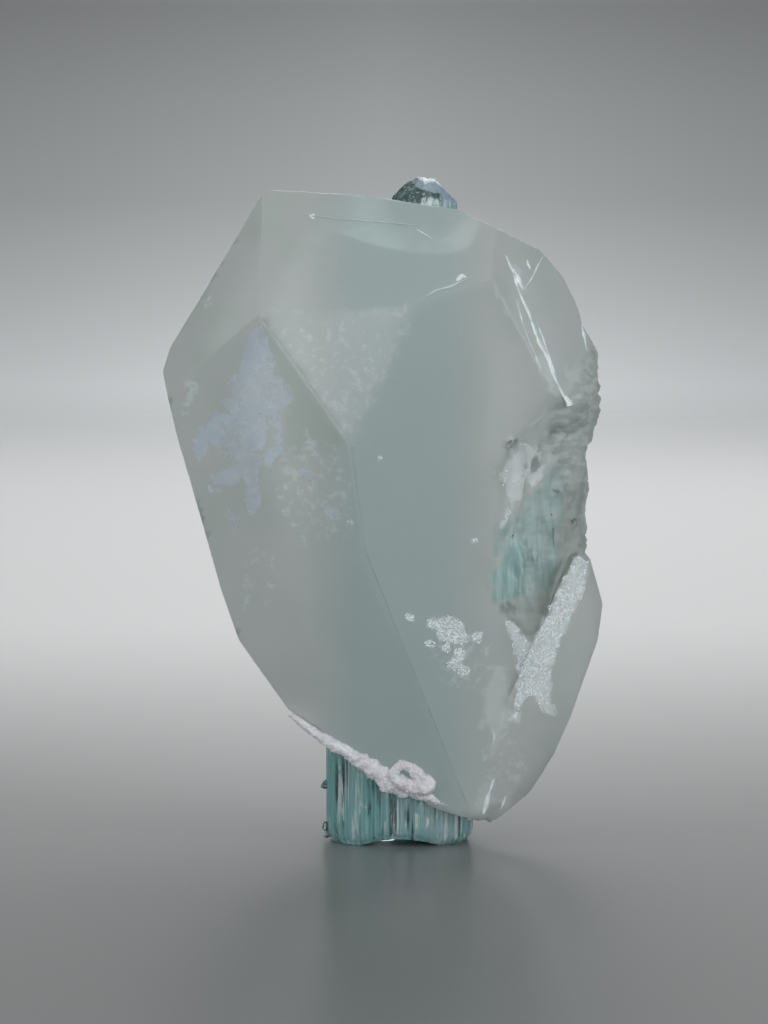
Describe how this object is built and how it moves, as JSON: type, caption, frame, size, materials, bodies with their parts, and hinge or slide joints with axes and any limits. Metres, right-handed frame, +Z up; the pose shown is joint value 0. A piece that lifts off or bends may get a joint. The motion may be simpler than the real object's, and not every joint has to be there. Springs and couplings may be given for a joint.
{
  "type": "tourmaline and quartz mineral specimen",
  "caption": "Upright striated blue-green tourmaline prism grown together with a broad, hazy quartz crystal, with a pale granular crust along the contact.",
  "frame": {"origin": "middle of the specimen's bounding box in plan, at the level of the feet it stands on", "axes": "+Z up along the tourmaline prism, -Y out of the broad faces of the quartz seen in the picture, +X to the viewer's right"},
  "size_m": [0.039, 0.0208, 0.0595],
  "materials": {
    "tourmaline": "vitreous, striated along the prism",
    "quartz": "hazy, with frosted patches and bright chipped edges",
    "albite": "granular, dull"
  },
  "bodies": {
    "root": {"tourmaline_crystal": "tourmaline", "quartz_crystal": "quartz", "albite_crust": "albite"}
  },
  "joints": []
}
